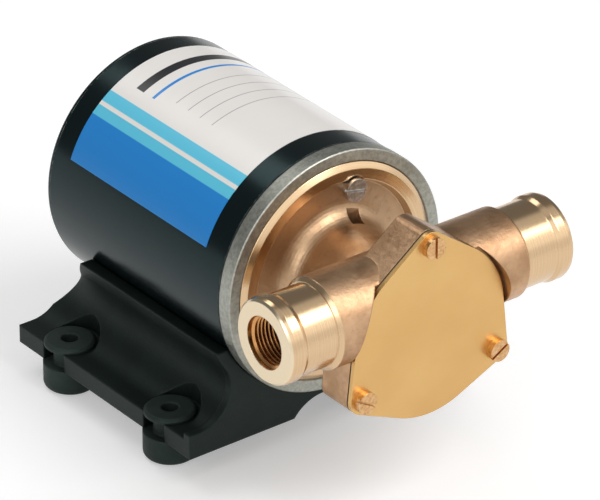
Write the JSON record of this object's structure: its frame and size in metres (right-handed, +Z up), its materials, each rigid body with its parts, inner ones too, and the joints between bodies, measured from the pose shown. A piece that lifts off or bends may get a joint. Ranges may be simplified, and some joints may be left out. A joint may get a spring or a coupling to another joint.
{
  "type": "flexible impeller pump",
  "caption": "Self-priming flexible impeller pump: a cast bronze head with threaded hose ports on a small direct-current motor, with a moulded base on rubber feet.",
  "frame": {"origin": "on the floor, at the centre of the rectangle of the four mounting holes", "axes": "+Z up, +X out of the right-hand port, the end cover faces -Y and the motor lies towards +Y"},
  "size_m": [0.1066, 0.1464, 0.0993],
  "materials": {
    "cover_bronze": "machined, satin",
    "gasket_fibre": "fibre sheet",
    "screw_brass": "machined",
    "cast_bronze": "cast, with machined ports and flange",
    "zinc_steel": "zinc plated",
    "impeller_rubber": "moulded",
    "bright_steel": "ground",
    "black_rubber": "moulded",
    "spring_steel": "sprung",
    "bell_aluminium": "die cast, machined rim",
    "can_paint": "gloss black paint",
    "bearing_steel": "ground",
    "cage_brass": "pressed",
    "core_steel": "laminated",
    "copper": "varnished",
    "ferrite": "sintered",
    "card_board": "laminate board",
    "carbon": "pressed carbon",
    "label_film": "printed film",
    "base_plastic": "moulded",
    "foot_rubber": "moulded"
  },
  "bodies": {
    "housing": {"end_cover": "cover_bronze", "cover_gasket": "gasket_fibre", "cover_screws": "screw_brass", "pump_body": "cast_bronze", "body_screws": "zinc_steel", "shaft_seal": "black_rubber", "front_bell": "bell_aluminium", "can_gasket": "black_rubber", "motor_can": "can_paint", "rear_cap": "can_paint", "through_bolts": "zinc_steel", "lead_grommet": "black_rubber", "front_bearing_outer": "bearing_steel", "rear_bearing_outer": "bearing_steel", "wave_washer": "spring_steel", "magnet_left": "ferrite", "magnet_right": "ferrite", "brush_card": "card_board", "brush_holders": "screw_brass", "brush_spring_left": "spring_steel", "brush_spring_right": "spring_steel", "label": "label_film", "base": "base_plastic", "base_screws": "zinc_steel", "foot_front_left": "foot_rubber", "foot_front_right": "foot_rubber", "foot_rear_left": "foot_rubber", "foot_rear_right": "foot_rubber"},
    "rotor": {"shaft": "bright_steel", "impeller": "impeller_rubber", "impeller_insert": "screw_brass", "drive_pin": "bright_steel", "slinger": "black_rubber", "shaft_circlip": "spring_steel", "front_bearing_inner": "bearing_steel", "rear_bearing_inner": "bearing_steel", "armature_core": "core_steel", "armature_windings": "copper", "commutator": "copper"},
    "front_cage": {"front_bearing_cage": "cage_brass"},
    "rear_cage": {"rear_bearing_cage": "cage_brass"},
    "brush_left": {"brush_left": "carbon"},
    "brush_right": {"brush_right": "carbon"}
  },
  "joints": [
    {"name": "shaft_spin", "type": "hinge", "parent": "housing", "child": "rotor", "pos_m": [0, 0, 0.0593], "axis": [0, 1, 0], "continuous": true, "deforming": ["impeller"]},
    {"name": "front_cage_spin", "type": "hinge", "parent": "housing", "child": "front_cage", "pos_m": [0, 0, 0.0593], "axis": [0, 1, 0], "continuous": true},
    {"name": "rear_cage_spin", "type": "hinge", "parent": "housing", "child": "rear_cage", "pos_m": [0, 0, 0.0593], "axis": [0, 1, 0], "continuous": true},
    {"name": "brush_left_slide", "type": "slide", "parent": "housing", "child": "brush_left", "axis": [-1, 0, 0], "range_m": [0, 0.003], "stiffness_N_per_m": 400, "springref_m": -0.006, "deforming": ["brush_spring_left"]},
    {"name": "brush_right_slide", "type": "slide", "parent": "housing", "child": "brush_right", "axis": [1, 0, 0], "range_m": [0, 0.003], "stiffness_N_per_m": 400, "springref_m": -0.006, "deforming": ["brush_spring_right"]}
  ],
  "couplings": [
    {"joint": "front_cage_spin", "follows": "shaft_spin", "ratio": 0.3677},
    {"joint": "rear_cage_spin", "follows": "shaft_spin", "ratio": 0.3677}
  ]
}
